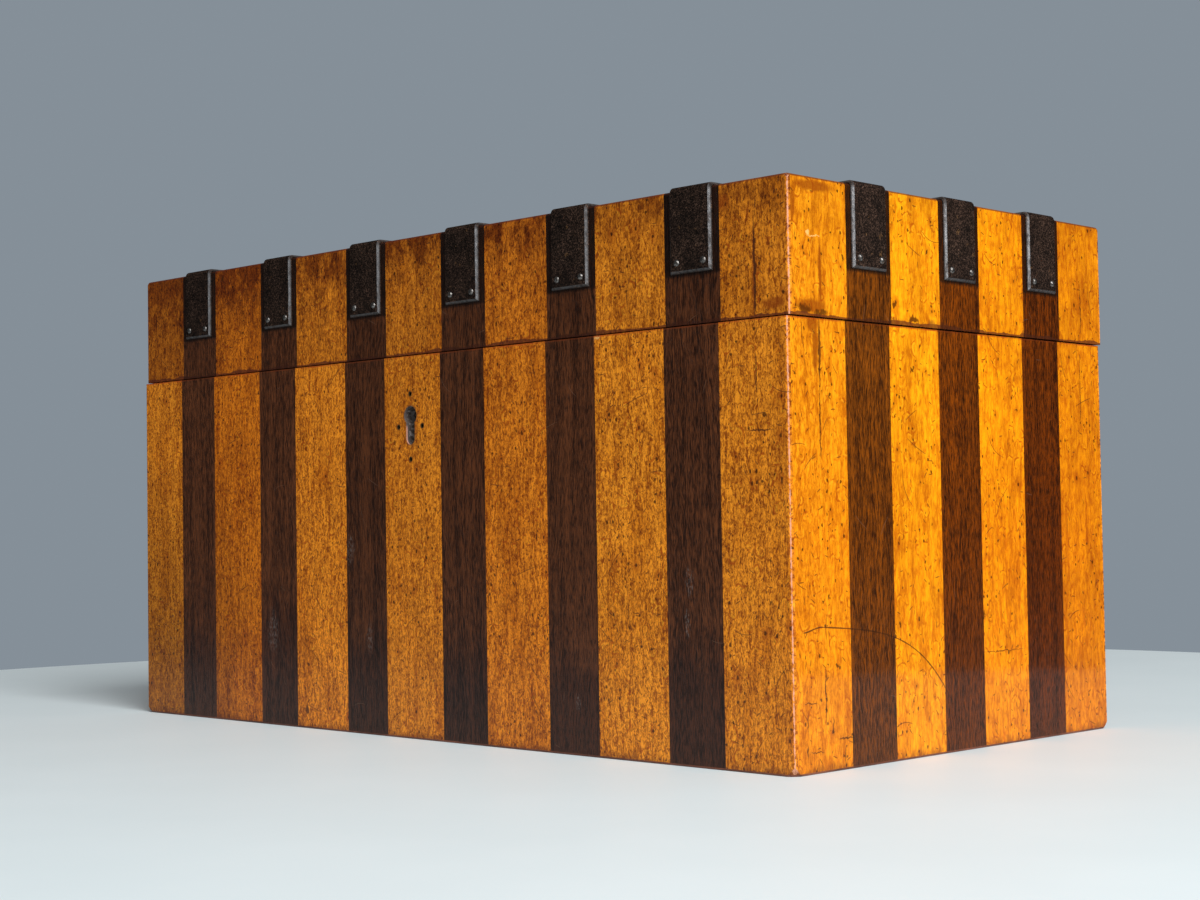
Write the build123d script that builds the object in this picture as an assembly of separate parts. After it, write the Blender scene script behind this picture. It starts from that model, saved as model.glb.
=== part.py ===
from build123d import *

import os

# Ditty box: a dovetailed wooden case and lid, sawn apart at one seam, faced with alternating strips of
# birch and rosewood, with iron straps nailed over the lid's top edges, butt hinges and a box lock.
# Millimetres. The origin is the centre of the underside, +X runs along the length, the front faces -Y.

# Outside of the wood
box_length = 305.0
box_width = 155.0
box_height = 158.0
lid_side_height = 37.3
seam_gap = 0.4
lid_shift_right = 0.5  # how far the lid sits out of line with the case
lid_shift_back = 0.5

# Boards and veneers
board_thickness = 11.5
bottom_board_thickness = 8.0
top_board_thickness = 8.0
veneer_thickness = 1.2
base_facing_thickness = 0.6
base_facing_corner_radius = 1.6
base_facing_edge_radius = 0.4
upright_edge_radius = 0.9
top_edge_radius = 1.0
top_corner_wear = 2.0  # how much of each edge is lost at a worn corner
foot_corner_wear = 3.2

# Strips of the two woods
front_rosewood_count = 6
front_rosewood_width = 20.3
front_corner_strip_width = 23.85
end_rosewood_count = 3
end_rosewood_width = 19.9
end_corner_strip_width = 24.5

# Dovetails
tail_spacing = 27.0
tail_root_width = 13.0
tail_flare = 1.6

# Iron straps
strap_width = 15.4
strap_thickness = 1.0
strap_drop = 23.2
strap_top_leg = 18.0
strap_bend_radius = 0.8
strap_bevel = 0.75

# Strap nails
nail_head_radius = 1.0
nail_dome_height = 0.7
nail_shank_radius = 0.6
nail_shank_length = 8.0
nail_point_length = 1.2
nail_side_inset = 2.8
nail_end_inset = 3.0

# Clearance of a nail, screw or stud in its hole
hole_clearance = 0.05

# Wood screws, all of one size
screw_head_radius = 2.1
screw_head_depth = 1.0
screw_shank_radius = 1.1
screw_shank_length = 5.5
screw_point_length = 1.5
screw_slot_width = 0.6
screw_slot_depth = 0.5

# Hinges
hinge_inset = 60.0  # from the end of the box to the middle of the hinge
hinge_length = 38.0
hinge_leaf_depth = 9.5
hinge_leaf_thickness = 1.6
hinge_axis_offset = 1.6  # how far the pin stands behind the back of the box
knuckle_radius = 2.4
knuckle_count = 5
knuckle_end_gap = 0.2
hinge_pin_radius = 1.0
hinge_running_clearance = 0.05
hinge_recess_clearance = 0.3
hinge_screw_count = 3
hinge_screw_spacing = 13.0
hinge_screw_inset = 5.0  # from the back of the box

# Lock
lock_offset = -0.9  # from the middle of the front
lock_plate_width = 58.0
lock_plate_height = 31.3
lock_plate_thickness = 1.2
lock_flange_inset = 1.5  # wood left in front of the flange
lock_tray_width = 48.0
lock_tray_height = 28.0
lock_tray_depth = 6.8
lock_tray_wall = 0.8
lock_screw_inset = 6.0

# Keyhole and the pin that the key turns on
key_centre_below_rim = 18.8
keyhole_radius = 3.0
keyhole_slot_width = 4.0
keyhole_slot_drop = 9.2  # from the key's centre to the foot of the slot
drill_pin_radius = 1.1

# Pin holes left by a lost keyhole plate
lost_plate_half_height = 10.3
lost_plate_half_width = 5.75
lost_plate_centre_drop = 3.5  # below the key's centre
lost_pin_radius = 0.6
lost_pin_depth = 4.0

# Bolt, its guide studs and its spring
bolt_stroke = 4.0
bolt_bar_height = 4.8
bolt_above_key = 5.3  # from the key's centre to the underside of the bar
bolt_face_clearance = 0.3
bolt_overhang = 0.5  # bar beyond the left prong's riser
bolt_right_end = 17.5  # from the middle of the lock
bolt_notch_width = 5.0
bolt_notch_depth = 2.5
prong_length = 3.6
prong_height = 1.8
prong_depth = 2.2
prong_rise = 1.8  # from the top of the bar to the underside of the prong
riser_width = 2.5
guide_stud_radius = 1.2
guide_stud_spread = 11.0  # from the middle of the lock
guide_clearance = 0.15
spring_thickness = 0.5
spring_width = 3.6
spring_bend_radius = 1.5
spring_left = -12.0
spring_right = 3.0
spring_gap = 0.15

# Link plate on the lid, with two tabs that the bolt's prongs enter
link_plate_width = 46.0
link_plate_depth = 8.5
link_plate_thickness = 1.2
link_plate_inner_inset = 0.5  # from the inner face of the board
link_tab_spread = 13.0  # from the middle of the lock
link_tab_thickness = 1.5
link_tab_side_clearance = 0.6  # between a tab and the lock's plate or tray
link_tab_clearance_below = 0.5
link_tab_hole_clearance = 0.3
link_tab_prong_gap = 0.6
link_slot_clearance = 0.5
link_screw_spread = 19.5

# Heights worked out from the sizes above
rim_height = box_height - lid_side_height - seam_gap
lid_bottom = rim_height + seam_gap
case_floor = base_facing_thickness + bottom_board_thickness
lid_ceiling = box_height - veneer_thickness - top_board_thickness
key_height = rim_height - key_centre_below_rim

# Planes worked out from the sizes above
half_length = box_length / 2
half_width = box_width / 2
board_outer_x = half_length - veneer_thickness
board_outer_y = half_width - veneer_thickness
board_inner_x = board_outer_x - board_thickness
board_inner_y = board_outer_y - board_thickness
hinge_axis_y = half_width + hinge_axis_offset
hinge_axis_z = (rim_height + lid_bottom) / 2
plate_front_y = -board_inner_y - lock_plate_thickness
tray_front_y = plate_front_y - lock_tray_depth
flange_front_y = lock_flange_inset - board_outer_y

parts_folder = "parts"
os.makedirs(parts_folder, exist_ok=True)


def slab(x_range, y_range, z_range):
    """A block between three pairs of limits."""
    size = [high - low for low, high in (x_range, y_range, z_range)]
    corner = Pos(x_range[0], y_range[0], z_range[0])
    return corner * Box(*size, align=(Align.MIN, Align.MIN, Align.MIN))


def around(middle, size):
    """Lower and upper limit of a size centred on a middle."""
    return (middle - size / 2, middle + size / 2)


def boxes_meet(first, second):
    """Whether the bounding boxes of two pieces reach each other."""
    a = first.bounding_box()
    b = second.bounding_box()
    return all(
        low_a < high_b and low_b < high_a
        for low_a, high_a, low_b, high_b in zip(a.min, a.max, b.min, b.max)
    )


def cut(piece, cutters):
    """The piece without the cutters that reach it."""
    reached = [cutter for cutter in cutters if boxes_meet(piece, cutter)]
    for cutter in reached:
        piece = piece - cutter
    return piece


def write(name, pieces):
    """One node: a single piece, or a group of separate ones."""
    solids = [solid for piece in pieces for solid in piece.solids()]
    shape = solids[0] if len(solids) == 1 else Compound(children=solids)
    export_step(shape, f"{parts_folder}/{name}.step")


def stripe_limits(total, corner_width, rosewood_width, rosewood_count):
    """Limits of the birch strips and of the rosewood strips across a face, from its middle."""
    birch_between = (total - 2 * corner_width - rosewood_count * rosewood_width) / (rosewood_count - 1)
    birch = [(-total / 2, -total / 2 + corner_width)]
    rosewood = []
    for index in range(rosewood_count):
        start = birch[-1][1]
        end = start + rosewood_width
        last = index == rosewood_count - 1
        rosewood.append((start, end))
        birch.append((end, end + (corner_width if last else birch_between)))
    return birch, rosewood


def clipped(limits, lowest, highest):
    """Strip limits held between the two ends of a face."""
    return [(max(low, lowest), min(high, highest)) for low, high in limits]


front_birch, front_rosewood = stripe_limits(
    box_length, front_corner_strip_width, front_rosewood_width, front_rosewood_count
)
end_birch, end_rosewood = stripe_limits(
    box_width, end_corner_strip_width, end_rosewood_width, end_rosewood_count
)


def rounded_envelope(z_range, top_radius):
    """The outside of the wood with its upright edges, and its top edges if wanted, rounded over."""
    block = slab((-half_length, half_length), (-half_width, half_width), z_range)
    block = fillet(block.edges().filter_by(Axis.Z), upright_edge_radius)
    if top_radius:
        block = fillet(block.faces().sort_by(Axis.Z)[-1].edges(), top_radius)
    return block


def worn_corners(level, way, wear):
    """What wear takes off the four corners at a level: all beyond a ball that meets the edges there."""
    ball_inset = 2 * wear
    ball = Pos(0, 0, level - way * ball_inset) * Sphere(3 * wear)
    z_range = sorted((level - way * ball_inset, level + way * wear))
    made = []
    for x_way in (-1, 1):
        for y_way in (-1, 1):
            x = x_way * (half_length - ball_inset)
            y = y_way * (half_width - ball_inset)
            x_range = sorted((x, x_way * (half_length + wear)))
            y_range = sorted((y, y_way * (half_width + wear)))
            made.append(slab(x_range, y_range, z_range) - Pos(x, y, 0) * ball)
    return made


def side_strips(side, limits, z_range):
    """Strips on one side: the long sides run the full length, and the ends fit between them."""
    if side in ("front", "back"):
        low = -half_width if side == "front" else board_outer_y
        y_range = (low, low + veneer_thickness)
        return [slab(x_range, y_range, z_range) for x_range in limits]
    low = -half_length if side == "left" else board_outer_x
    x_range = (low, low + veneer_thickness)
    between = clipped(limits, -board_outer_y, board_outer_y)
    return [slab(x_range, y_range, z_range) for y_range in between]


def tails(x_range, z_range):
    """Dovetails on both ends of an end board, widening outwards."""
    height = z_range[1] - z_range[0]
    count = max(1, round(height / tail_spacing))
    pitch = height / count
    made = []
    for index in range(count):
        middle = z_range[0] + (index + 0.5) * pitch
        root = tail_root_width / 2
        tip = root + tail_flare
        for way in (-1, 1):
            corners = [
                (x_range[0], way * board_inner_y, middle - root),
                (x_range[0], way * board_outer_y, middle - tip),
                (x_range[0], way * board_outer_y, middle + tip),
                (x_range[0], way * board_inner_y, middle + root),
            ]
            outline = make_face(Polyline(*corners, close=True))
            made.append(extrude(outline, amount=x_range[1] - x_range[0], dir=(1, 0, 0)))
    return made


def dovetailed_frame(z_range):
    """The four boards of the case or of the lid: front, back, left end and right end."""
    ends = []
    all_tails = []
    for way in (-1, 1):
        x_range = tuple(sorted((way * board_inner_x, way * board_outer_x)))
        own_tails = tails(x_range, z_range)
        board = slab(x_range, (-board_inner_y, board_inner_y), z_range)
        for tail in own_tails:
            board = board + tail
        ends.append(board)
        all_tails += own_tails
    long_sides = []
    for way in (-1, 1):
        y_range = tuple(sorted((way * board_inner_y, way * board_outer_y)))
        board = slab((-board_outer_x, board_outer_x), y_range, z_range)
        long_sides.append(cut(board, all_tails))
    return long_sides + ends


def screw(grown_by=0.0):
    """A countersunk wood screw, head up at the origin; grown, it is the hole that takes it."""
    head = screw_head_radius + grown_by
    shank = screw_shank_radius + grown_by
    neck = -screw_head_depth
    foot = neck - screw_shank_length
    tip = foot - screw_point_length - grown_by
    outline = Polyline((0, 0), (head, 0), (shank, neck), (shank, foot), (0, tip), close=True)
    body = revolve(make_face(Plane.XZ * outline), Axis.Z)
    if grown_by:
        return body
    slot = slab(
        (-head, head), around(0, screw_slot_width), (-screw_slot_depth, screw_slot_depth)
    )
    return body - slot


def nail(grown_by=0.0):
    """A round-headed nail, head up, its head resting at the origin; grown, it is the nail's hole."""
    shank = nail_shank_radius + grown_by
    neck = nail_shank_length - nail_point_length
    tip = (0, -nail_shank_length - grown_by)
    if grown_by:
        outline = Polyline((0, nail_dome_height), (shank, nail_dome_height), (shank, -neck), tip, close=True)
        return revolve(make_face(Plane.XZ * outline), Axis.Z)
    dome_radius = (nail_head_radius**2 + nail_dome_height**2) / (2 * nail_dome_height)
    dome = RadiusArc((0, nail_dome_height), (nail_head_radius, 0), dome_radius)
    below = Polyline((nail_head_radius, 0), (shank, 0), (shank, -neck), tip, (0, nail_dome_height))
    return revolve(make_face(Plane.XZ * (dome + below)), Axis.Z)


def plain_strap():
    """A strap over a top edge: the edge is the X axis, the wood lies at +Y and -Z."""
    side = strap_width / 2
    bevel_foot = strap_thickness - strap_bevel
    section = make_face(
        Plane((0, 0, -strap_drop))
        * Polyline(
            (-side, 0),
            (side, 0),
            (side, -bevel_foot),
            (side - strap_bevel, -strap_thickness),
            (strap_bevel - side, -strap_thickness),
            (-side, -bevel_foot),
            close=True,
        )
    )
    path = FilletPolyline((0, 0, -strap_drop), (0, 0, 0), (0, strap_top_leg, 0), radius=strap_bend_radius)
    bar = sweep(section, path)
    ends = [
        bar.edges().sort_by_distance((0, -strap_thickness, -strap_drop))[0],
        bar.edges().sort_by_distance((0, strap_top_leg, strap_thickness))[0],
    ]
    return chamfer(ends, strap_bevel)


def strap_nail_places():
    """Where a strap's four nails go, on its drop and on its top leg, heads facing out."""
    places = []
    for way in (-1, 1):
        x = way * (strap_width / 2 - nail_side_inset)
        places.append(Pos(x, -strap_thickness, nail_end_inset - strap_drop) * Rot(90, 0, 0))
        places.append(Pos(x, strap_top_leg - nail_end_inset, strap_thickness))
    return places


def strap_places():
    """Name and place of each strap, every one over the middle of a rosewood strip."""
    places = {}
    sides = {
        "front": (front_rosewood, lambda x: Pos(x, -half_width, box_height)),
        "back": (front_rosewood, lambda x: Pos(x, half_width, box_height) * Rot(0, 0, 180)),
        "left": (end_rosewood, lambda y: Pos(-half_length, y, box_height) * Rot(0, 0, -90)),
        "right": (end_rosewood, lambda y: Pos(half_length, y, box_height) * Rot(0, 0, 90)),
    }
    for side, (limits, place) in sides.items():
        for number, (low, high) in enumerate(limits, start=1):
            places[f"{side}_strap_{number}"] = (side, place((low + high) / 2))
    return places


def hinge_knuckles(middle_x, owner):
    """Limits along the pin of the knuckles of one leaf: the case's are the first, third and fifth."""
    pitch = (hinge_length + knuckle_end_gap) / knuckle_count
    start = middle_x - hinge_length / 2
    first = 0 if owner == "case" else 1
    return [
        (start + index * pitch, start + (index + 1) * pitch - knuckle_end_gap)
        for index in range(first, knuckle_count, 2)
    ]


def hinge_screw_places(middle_x, owner):
    """Where a leaf's screws go, heads on the face that meets the other leaf."""
    places = []
    for index in range(hinge_screw_count):
        x = middle_x + (index - (hinge_screw_count - 1) / 2) * hinge_screw_spacing
        y = half_width - hinge_screw_inset
        if owner == "case":
            places.append(Pos(x, y, rim_height))
        else:
            places.append(Pos(x, y, lid_bottom) * Rot(180, 0, 0))
    return places


def leaf_z_range(owner):
    """Lower and upper face of a leaf, let in flush with the edge of its board."""
    if owner == "case":
        return (rim_height - hinge_leaf_thickness, rim_height)
    return (lid_bottom, lid_bottom + hinge_leaf_thickness)


def hinge_rod(x_range, radius):
    """A round bar along the hinge's axis."""
    length = x_range[1] - x_range[0]
    bar = Rot(0, 90, 0) * Cylinder(radius, length, align=(Align.CENTER, Align.CENTER, Align.MIN))
    return Pos(x_range[0], hinge_axis_y, hinge_axis_z) * bar


def hinge_leaf(middle_x, owner):
    """A leaf with its knuckles, bored for the pin and countersunk for its screws."""
    z_range = leaf_z_range(owner)
    plate_back = hinge_axis_y - knuckle_radius - knuckle_end_gap
    plate_front = half_width - hinge_leaf_depth
    leaf = slab(around(middle_x, hinge_length), (plate_front, plate_back), z_range)
    for x_range in hinge_knuckles(middle_x, owner):
        leaf = leaf + slab(x_range, (plate_back, hinge_axis_y), z_range)
        leaf = leaf + hinge_rod(x_range, knuckle_radius)
    leaf = leaf - hinge_rod(around(middle_x, hinge_length), hinge_pin_radius + hinge_running_clearance)
    for place in hinge_screw_places(middle_x, owner):
        leaf = leaf - place * screw(hole_clearance)
    return leaf


def hinge_recess(middle_x, owner):
    """What is cut from the wood for a hinge: the leaf's bed, the knuckles' channel and the screw holes."""
    z_range = leaf_z_range(owner)
    outside = hinge_axis_y + knuckle_radius
    bed = slab(around(middle_x, hinge_length), (half_width - hinge_leaf_depth, outside), z_range)
    channel_reach = knuckle_radius + hinge_recess_clearance
    channel = slab(
        around(middle_x, hinge_length + 2 * hinge_recess_clearance),
        (hinge_axis_y - channel_reach, outside),
        around(hinge_axis_z, 2 * channel_reach),
    )
    holes = [place * screw(hole_clearance) for place in hinge_screw_places(middle_x, owner)]
    return [bed, channel] + holes


hinge_middles = {"left": hinge_inset - half_length, "right": half_length - hinge_inset}


def lock_rod(x_from_middle, z, y_range, radius):
    """A round pin standing on the lock plate, from front to back."""
    length = y_range[1] - y_range[0]
    rod = Rot(-90, 0, 0) * Cylinder(radius, length, align=(Align.CENTER, Align.CENTER, Align.MIN))
    return Pos(lock_offset + x_from_middle, y_range[0], z) * rod


def keyhole(y_range):
    """A keyhole's round top and its slot with a round foot, cut through from front to back."""
    foot_height = key_height - keyhole_slot_drop + keyhole_slot_width / 2
    slot = slab(around(lock_offset, keyhole_slot_width), y_range, (foot_height, key_height))
    top = lock_rod(0, key_height, y_range, keyhole_radius)
    return top + slot + lock_rod(0, foot_height, y_range, keyhole_slot_width / 2)


# Heights inside the lock
bar_bottom = key_height + bolt_above_key
bar_top = bar_bottom + bolt_bar_height
prong_bottom = bar_top + prong_rise
flange_bottom = rim_height - lock_plate_thickness
stud_height = (bar_bottom + bar_top) / 2

# Depths inside the lock
tray_back_of_front_y = tray_front_y + lock_tray_wall
works_middle_y = (tray_back_of_front_y + plate_front_y) / 2
link_tab_width = plate_front_y - tray_back_of_front_y - 2 * link_tab_side_clearance
prong_y_range = around(works_middle_y, prong_depth)
bolt_y_range = (prong_y_range[0], plate_front_y - bolt_face_clearance)


def lock_screw_places():
    """Where the lock plate's four screws go, heads facing the inside of the box."""
    side = (lock_plate_width + lock_tray_width) / 4
    low = rim_height - lock_plate_height + lock_screw_inset
    high = rim_height - lock_screw_inset
    turn = Rot(-90, 0, 0)
    return [
        Pos(lock_offset + way * side, -board_inner_y, z) * turn for way in (-1, 1) for z in (low, high)
    ]


def lock_plate():
    """The lock's plate with its flange, two guide studs and the pin that the key turns on."""
    width = around(lock_offset, lock_plate_width)
    plate = slab(width, (plate_front_y, -board_inner_y), (rim_height - lock_plate_height, rim_height))
    plate = plate + slab(width, (flange_front_y, -board_inner_y), (flange_bottom, rim_height))
    through_works = (tray_front_y, plate_front_y)
    for way in (-1, 1):
        slot = slab(
            around(lock_offset + way * link_tab_spread, link_tab_thickness + 2 * link_slot_clearance),
            around(works_middle_y, link_tab_width + 2 * link_slot_clearance),
            (flange_bottom, rim_height),
        )
        stud = lock_rod(way * guide_stud_spread, stud_height, through_works, guide_stud_radius)
        plate = plate - slot + stud
    plate = plate + lock_rod(0, key_height, through_works, drill_pin_radius)
    for place in lock_screw_places():
        plate = plate - place * screw(hole_clearance)
    return plate


def lock_tray_block():
    """The outside of the lock's tray, which is also the mortise that takes it."""
    return slab(
        around(lock_offset, lock_tray_width),
        (tray_front_y, plate_front_y),
        (flange_bottom - lock_tray_height, flange_bottom),
    )


def lock_tray():
    """The pressed tray over the works, open towards the plate and the flange."""
    inside = slab(
        around(lock_offset, lock_tray_width - 2 * lock_tray_wall),
        (tray_back_of_front_y, plate_front_y),
        (flange_bottom - lock_tray_height + lock_tray_wall, flange_bottom),
    )
    front = (tray_front_y, tray_back_of_front_y)
    tray = lock_tray_block() - inside - keyhole(front)
    for way in (-1, 1):
        hole = lock_rod(way * guide_stud_spread, stud_height, front, guide_stud_radius + hole_clearance)
        tray = tray - hole
    return tray


def lock_bolt():
    """The sliding bolt, drawn back: a slotted bar with a notch for the key and two prongs."""
    prong_ends = [
        lock_offset + way * link_tab_spread - link_tab_thickness / 2 - link_tab_prong_gap for way in (-1, 1)
    ]
    bar_left = prong_ends[0] - prong_length - riser_width - bolt_overhang
    bolt = slab((bar_left, lock_offset + bolt_right_end), bolt_y_range, (bar_bottom, bar_top))
    for end in prong_ends:
        root = end - prong_length
        bolt = bolt + slab((root - riser_width, root), bolt_y_range, (bar_top, prong_bottom + prong_height))
        bolt = bolt + slab((root, end), prong_y_range, (prong_bottom, prong_bottom + prong_height))
    reach = guide_stud_radius + guide_clearance
    for way in (-1, 1):
        stud = lock_offset + way * guide_stud_spread
        slot = (stud - bolt_stroke - reach, stud + reach)
        bolt = bolt - slab(slot, bolt_y_range, around(stud_height, 2 * reach))
    notch = around(lock_offset - bolt_stroke / 2, bolt_notch_width)
    return bolt - slab(notch, bolt_y_range, (bar_bottom, bar_bottom + bolt_notch_depth))


def lock_spring():
    """The bent leaf spring that bears on the bolt, its top leg under the flange."""
    top = flange_bottom - spring_thickness / 2
    tip = bar_top + spring_gap + spring_thickness / 2
    bend = FilletPolyline(
        (spring_right, top), (spring_left, top), (spring_right, tip), radius=spring_bend_radius
    )
    leaf = extrude(Plane.XZ * trace(bend, spring_thickness), amount=spring_width)
    middle_y = sum(bolt_y_range) / 2
    return Pos(lock_offset, middle_y + spring_width / 2, 0) * leaf


def link_screw_places():
    """Where the link plate's screws go, heads facing down."""
    outer = -board_inner_y - link_plate_inner_inset - link_plate_depth / 2
    return [
        Pos(lock_offset + way * link_screw_spread, outer, lid_bottom) * Rot(180, 0, 0) for way in (-1, 0, 1)
    ]


def link_plate_block():
    """The flat of the link plate, which is also its bed in the lid."""
    back = -board_inner_y - link_plate_inner_inset
    return slab(
        around(lock_offset, link_plate_width),
        (back - link_plate_depth, back),
        (lid_bottom, lid_bottom + link_plate_thickness),
    )


def link_plate():
    """The link plate with its two pierced tabs hanging into the lock."""
    plate = link_plate_block()
    for way in (-1, 1):
        middle = lock_offset + way * link_tab_spread
        tab_bottom = bar_top + link_tab_clearance_below
        thickness = around(middle, link_tab_thickness)
        tab = slab(thickness, around(works_middle_y, link_tab_width), (tab_bottom, lid_bottom))
        hole_y = around(works_middle_y, prong_depth + 2 * link_tab_hole_clearance)
        hole_z = around(prong_bottom + prong_height / 2, prong_height + 2 * link_tab_hole_clearance)
        plate = plate + (tab - slab(thickness, hole_y, hole_z))
    for place in link_screw_places():
        plate = plate - place * screw(hole_clearance)
    return plate


def lost_plate_holes():
    """The four pin holes round the keyhole."""
    middle = key_height - lost_plate_centre_drop
    corners = [(0, lost_plate_half_height), (0, -lost_plate_half_height)]
    corners += [(lost_plate_half_width, 0), (-lost_plate_half_width, 0)]
    depth = (-half_width, lost_pin_depth - half_width)
    return [lock_rod(x, middle + z, depth, lost_pin_radius) for x, z in corners]


def lock_recess():
    """What is cut from the front board for the lock."""
    width = around(lock_offset, lock_plate_width)
    bed = slab(width, (plate_front_y, -board_inner_y), (rim_height - lock_plate_height, rim_height))
    flange_bed = slab(width, (flange_front_y, -board_inner_y), (flange_bottom, rim_height))
    holes = [place * screw(hole_clearance) for place in lock_screw_places()]
    return [bed, flange_bed, lock_tray_block()] + holes


def shifted(piece):
    """A piece of the lid's woodwork, moved to where the lid sits."""
    return Pos(lid_shift_right, lid_shift_back, 0) * piece


nodes = {}

# Case: four dovetailed boards on a bottom board, with a thin facing under it
keyhole_cut = keyhole((-half_width, tray_front_y))
foot_corners = worn_corners(0, -1, foot_corner_wear)
case_cutters = [keyhole_cut] + lost_plate_holes() + lock_recess() + foot_corners
for middle_x in hinge_middles.values():
    case_cutters += hinge_recess(middle_x, "case")
case_frame = dovetailed_frame((case_floor, rim_height))
for name, board in zip(("front_board", "back_board", "left_end_board", "right_end_board"), case_frame):
    nodes[name] = [cut(board, case_cutters)]
bottom_board_range = (base_facing_thickness, case_floor)
bottom_board = slab((-board_outer_x, board_outer_x), (-board_outer_y, board_outer_y), bottom_board_range)
nodes["bottom_board"] = [cut(bottom_board, foot_corners)]
facing = slab((-half_length, half_length), (-half_width, half_width), (0, base_facing_thickness))
facing = fillet(facing.edges().filter_by(Axis.Z), base_facing_corner_radius)
facing = fillet(facing.faces().sort_by(Axis.Z)[0].edges(), base_facing_edge_radius)
nodes["base_facing"] = [cut(facing, foot_corners)]

# Case: strips of the two woods on all four sides
side_stripes = {
    "front": (front_birch, front_rosewood),
    "back": (front_birch, front_rosewood),
    "left": (end_birch, end_rosewood),
    "right": (end_birch, end_rosewood),
}
case_range = (base_facing_thickness, rim_height)
case_envelope = rounded_envelope(case_range, 0)
for side, both_woods in side_stripes.items():
    for wood, limits in zip(("birch", "rosewood"), both_woods):
        strips = [strip & case_envelope for strip in side_strips(side, limits, case_range)]
        nodes[f"{side}_{wood}_strips"] = [cut(strip, case_cutters) for strip in strips]

# Lock
nodes["lock_plate"] = [lock_plate()]
nodes["lock_tray"] = [lock_tray()]
nodes["lock_bolt"] = [lock_bolt()]
nodes["lock_spring"] = [lock_spring()]
nodes["link_plate"] = [link_plate()]

# Hinges, their pins, and the screws of the case and of the lid
case_screw_places = lock_screw_places()
lid_screw_places = link_screw_places()
for side, middle_x in hinge_middles.items():
    nodes[f"{side}_hinge_case_leaf"] = [hinge_leaf(middle_x, "case")]
    nodes[f"{side}_hinge_lid_leaf"] = [hinge_leaf(middle_x, "lid")]
    case_screw_places += hinge_screw_places(middle_x, "case")
    lid_screw_places += hinge_screw_places(middle_x, "lid")
nodes["hinge_pins"] = [
    hinge_rod(around(middle_x, hinge_length), hinge_pin_radius) for middle_x in hinge_middles.values()
]
nodes["case_screws"] = [place * screw() for place in case_screw_places]
nodes["lid_screws"] = [place * screw() for place in lid_screw_places]

# Straps over the lid's top edges, and their nails
strap_holes = [place * nail(hole_clearance) for place in strap_nail_places()]
strap = cut(plain_strap(), strap_holes)
lid_cutters = [place * screw(hole_clearance) for place in link_screw_places()] + [link_plate_block()]
lid_cutters += [shifted(corner) for corner in worn_corners(box_height, 1, top_corner_wear)]
for middle_x in hinge_middles.values():
    lid_cutters += hinge_recess(middle_x, "lid")
nodes["strap_nails"] = []
for name, (side, place) in strap_places().items():
    nodes[name] = [shifted(place * strap)]
    nodes["strap_nails"] += [shifted(place * spot * nail()) for spot in strap_nail_places()]
    lid_cutters += [shifted(place * hole) for hole in strap_holes]

# Lid: four dovetailed rails under a top board
lid_frame = dovetailed_frame((lid_bottom, lid_ceiling))
for name, rail in zip(("lid_front_rail", "lid_back_rail", "lid_left_rail", "lid_right_rail"), lid_frame):
    nodes[name] = [cut(shifted(rail), lid_cutters)]
top_board_range = (lid_ceiling, box_height - veneer_thickness)
top_board = slab((-board_outer_x, board_outer_x), (-board_outer_y, board_outer_y), top_board_range)
nodes["lid_top_board"] = [cut(shifted(top_board), lid_cutters)]

# Lid: strips of the two woods on its sides and across its top
lid_envelope = rounded_envelope((lid_bottom, box_height), top_edge_radius)
for side, both_woods in side_stripes.items():
    for wood, limits in zip(("birch", "rosewood"), both_woods):
        strips = [strip & lid_envelope for strip in side_strips(side, limits, (lid_bottom, box_height))]
        nodes[f"lid_{side}_{wood}_strips"] = [cut(shifted(strip), lid_cutters) for strip in strips]
top_range = (box_height - veneer_thickness, box_height)
for wood, limits in zip(("birch", "rosewood"), side_stripes["front"]):
    strips = [
        slab(x_range, (-board_outer_y, board_outer_y), top_range) & lid_envelope
        for x_range in clipped(limits, -board_outer_x, board_outer_x)
    ]
    nodes[f"lid_top_{wood}_strips"] = [cut(shifted(strip), lid_cutters) for strip in strips]

for name, pieces in nodes.items():
    write(name, pieces)
print(len(nodes), "nodes")
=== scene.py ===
from collections import namedtuple
from functools import reduce
from math import radians

import bmesh
import bpy
from mathutils import Matrix, Vector


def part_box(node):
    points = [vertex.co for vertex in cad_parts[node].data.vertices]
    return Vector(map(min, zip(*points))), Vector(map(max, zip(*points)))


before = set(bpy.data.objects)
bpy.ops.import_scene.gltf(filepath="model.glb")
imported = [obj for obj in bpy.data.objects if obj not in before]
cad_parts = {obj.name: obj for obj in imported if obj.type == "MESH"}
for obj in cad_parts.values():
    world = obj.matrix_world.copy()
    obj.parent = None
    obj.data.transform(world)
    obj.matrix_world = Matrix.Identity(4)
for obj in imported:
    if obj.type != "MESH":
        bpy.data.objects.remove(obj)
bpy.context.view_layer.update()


# ---- Carcase --------------------------------------------------------------------------------------
# Four dovetailed boards on a bottom board, and four rails under a top board for the lid, all of the
# same plain brown wood, planed and left bare inside. The grain runs along each board.

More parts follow.
